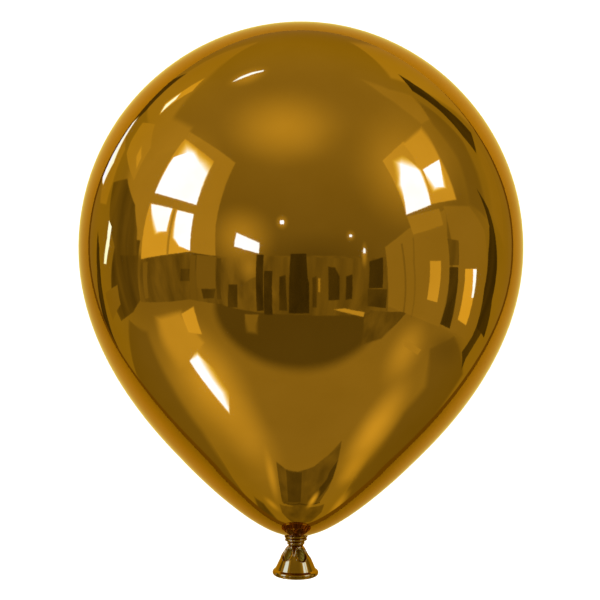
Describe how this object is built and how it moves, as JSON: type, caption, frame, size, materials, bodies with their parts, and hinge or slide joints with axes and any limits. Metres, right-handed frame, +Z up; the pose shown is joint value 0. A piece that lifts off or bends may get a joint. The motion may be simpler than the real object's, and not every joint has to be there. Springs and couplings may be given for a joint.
{
  "type": "metallic balloon",
  "caption": "Tied round party balloon in mirror-bright gold latex, teardrop body with a coiled knot and a small flared skirt with a rolled lip, lying on its side.",
  "frame": {"origin": "centre of the bounding box's underside, on the surface that the balloon lies on", "axes": "+Y along the balloon's axis towards its crown, with the knot and skirt at -Y; +Z up; +X to the right seen from above with the crown away from the viewer"},
  "size_m": [0.3, 0.376, 0.2988],
  "materials": {
    "latex": "polished"
  },
  "bodies": {
    "root": {"balloon": "latex"}
  },
  "joints": []
}
